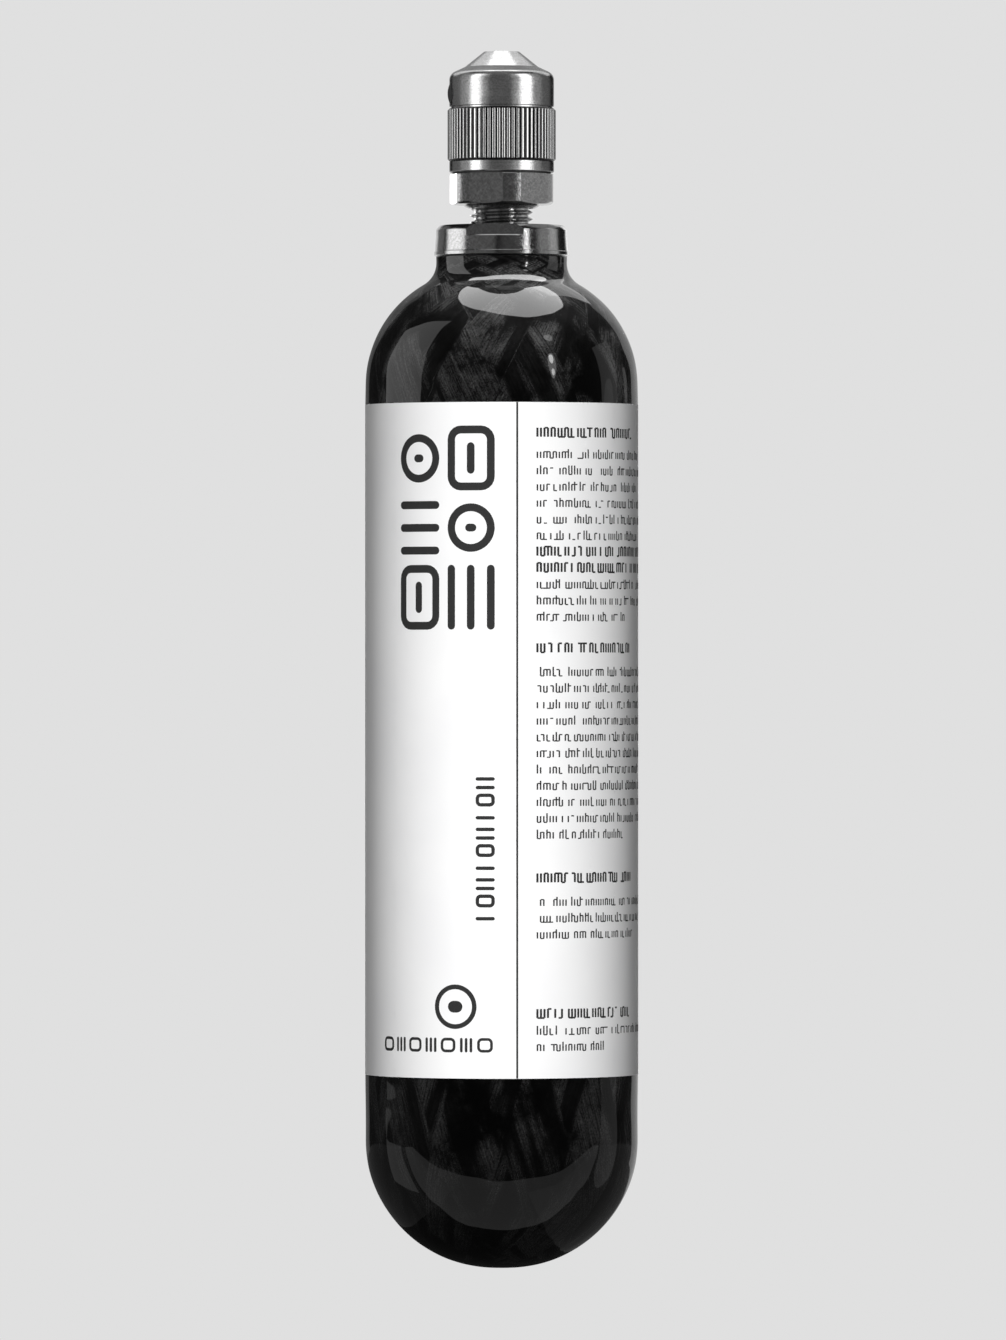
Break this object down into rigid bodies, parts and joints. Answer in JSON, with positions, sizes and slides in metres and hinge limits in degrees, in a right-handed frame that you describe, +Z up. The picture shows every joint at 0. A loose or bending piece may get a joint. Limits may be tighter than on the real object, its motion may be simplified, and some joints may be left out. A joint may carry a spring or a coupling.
{
  "type": "airbag gas cartridge",
  "caption": "Carbon-wrapped gas cylinder with domed ends, a label sleeve, a hexagon pin valve and a knurled screw cap.",
  "frame": {"origin": "lowest point of the domed base, on the cylinder's axis", "axes": "+Z up along the cylinder's axis towards the cap, -Y towards the front of the label, +X to the right of the front"},
  "size_m": [0.0612, 0.061, 0.272],
  "materials": {
    "liner": "plain drawn",
    "carbon": "filament-wound carbon fibre in epoxy",
    "clear_ply": "clear gloss resin over the winding",
    "label": "satin white film with grey print",
    "neck_ring": "turned, dark plated",
    "valve": "turned and plated",
    "washer": "plain",
    "pin_steel": "ground",
    "spring_steel": "drawn wire",
    "brass_parts": "turned",
    "filter": "sintered",
    "seat_plastic": "machined",
    "seal_rubber": "moulded",
    "cap": "turned, straight-knurled and anodised grey",
    "plug_rubber": "moulded"
  },
  "bodies": {
    "cylinder": {"liner": "liner", "carbon_overwrap": "carbon", "glass_ply": "clear_ply", "label_sleeve": "label", "neck_ring": "neck_ring", "neck_o_ring": "seal_rubber", "neck_backup_ring": "seat_plastic", "valve_body": "valve", "stem_washer": "washer", "valve_seat": "seat_plastic", "pin_spring": "spring_steel", "spring_retainer": "brass_parts", "inlet_filter": "filter", "pin_guide": "brass_parts", "outlet_o_ring": "seal_rubber"},
    "pin": {"valve_pin": "pin_steel", "pin_seal": "seal_rubber"},
    "gasket": {"cap_gasket": "seal_rubber"},
    "cap": {"protective_cap": "cap", "vent_plug": "plug_rubber"}
  },
  "joints": [
    {"name": "pin_press", "type": "slide", "parent": "cylinder", "child": "pin", "axis": [0, 0, -1], "range_m": [0, 0.002], "stiffness_N_per_m": 1200, "springref_m": -0.006, "deforming": ["pin_spring"]},
    {"name": "cap_lift", "type": "slide", "parent": "cylinder", "child": "gasket", "axis": [0, 0, 1], "range_m": [0, 0.0165]},
    {"name": "cap_turn", "type": "hinge", "parent": "gasket", "child": "cap", "pos_m": [0, 0, 0.245], "axis": [0, 0, 1], "range_deg": [0, 3960]}
  ],
  "couplings": [
    {"joint": "cap_lift", "follows": "cap_turn", "m_per_rad": 0.00023873}
  ]
}
